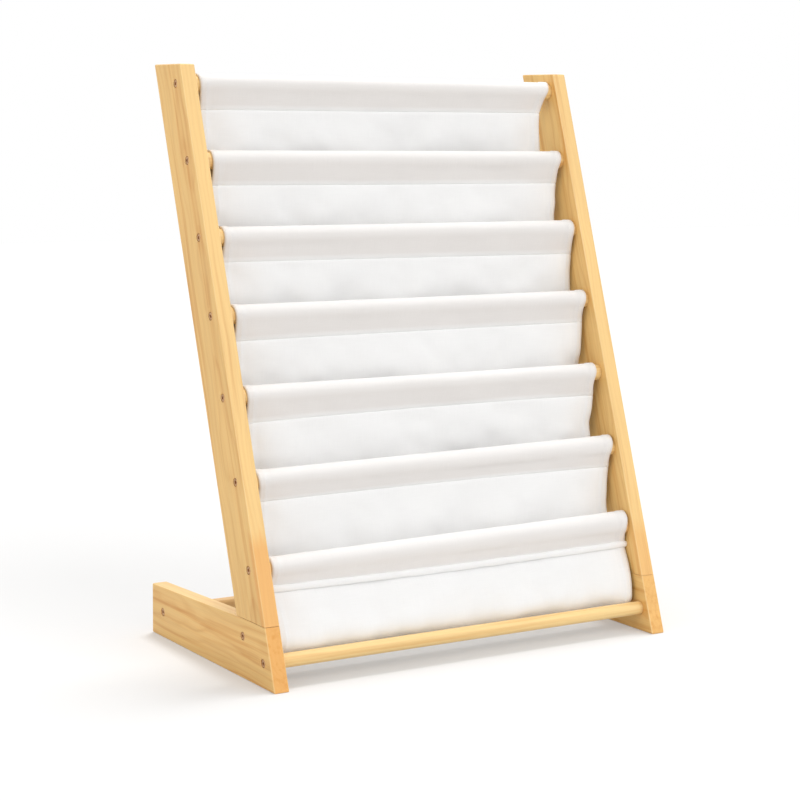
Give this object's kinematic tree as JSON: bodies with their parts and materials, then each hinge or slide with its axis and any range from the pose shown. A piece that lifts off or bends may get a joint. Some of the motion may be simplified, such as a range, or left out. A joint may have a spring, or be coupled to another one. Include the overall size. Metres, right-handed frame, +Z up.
{
  "type": "sling bookshelf",
  "caption": "Child's sling bookshelf: leaning pine side frames joined by round rails that carry a white canvas sling with book pockets.",
  "frame": {"origin": "on the floor, in the middle of the footprint", "axes": "+X to the right as seen from the front, +Y to the back, +Z up; the pockets open upwards and face -Y"},
  "size_m": [0.6, 0.342, 0.75],
  "materials": {
    "pine": "clear satin lacquer over sanded pine boards",
    "rail_pine": "clear satin lacquer over turned pine rails",
    "screw_steel": "bronzed hex-socket screws",
    "pin_beech": "raw beech pins",
    "canvas": "white plain-weave cotton canvas with sewn sleeves and hems"
  },
  "bodies": {
    "root": {"upright_left": "pine", "upright_right": "pine", "foot_left": "pine", "foot_right": "pine", "sling_rail_1": "rail_pine", "sling_rail_2": "rail_pine", "sling_rail_3": "rail_pine", "sling_rail_4": "rail_pine", "sling_rail_5": "rail_pine", "sling_rail_6": "rail_pine", "sling_rail_7": "rail_pine", "front_rail": "rail_pine", "lower_rail": "rail_pine", "rear_rail": "rail_pine", "sling_rail_1_screw_left": "screw_steel", "sling_rail_2_screw_left": "screw_steel", "sling_rail_3_screw_left": "screw_steel", "sling_rail_4_screw_left": "screw_steel", "sling_rail_5_screw_left": "screw_steel", "sling_rail_6_screw_left": "screw_steel", "sling_rail_7_screw_left": "screw_steel", "front_rail_screw_left": "screw_steel", "lower_rail_screw_left": "screw_steel", "rear_rail_screw_left": "screw_steel", "sling_rail_1_screw_right": "screw_steel", "sling_rail_2_screw_right": "screw_steel", "sling_rail_3_screw_right": "screw_steel", "sling_rail_4_screw_right": "screw_steel", "sling_rail_5_screw_right": "screw_steel", "sling_rail_6_screw_right": "screw_steel", "sling_rail_7_screw_right": "screw_steel", "front_rail_screw_right": "screw_steel", "lower_rail_screw_right": "screw_steel", "rear_rail_screw_right": "screw_steel", "joint_screw_left": "screw_steel", "joint_screw_right": "screw_steel", "joint_pin_left_front": "pin_beech", "joint_pin_left_back": "pin_beech", "joint_pin_right_front": "pin_beech", "joint_pin_right_back": "pin_beech", "canvas_sleeve_1": "canvas", "canvas_sleeve_2": "canvas", "canvas_sleeve_3": "canvas", "canvas_sleeve_4": "canvas", "canvas_sleeve_5": "canvas", "canvas_sleeve_6": "canvas", "canvas_sleeve_7": "canvas", "canvas_pocket_1": "canvas", "canvas_pocket_2": "canvas", "canvas_pocket_3": "canvas", "canvas_pocket_4": "canvas", "canvas_pocket_5": "canvas", "canvas_pocket_6": "canvas"}
  },
  "joints": []
}
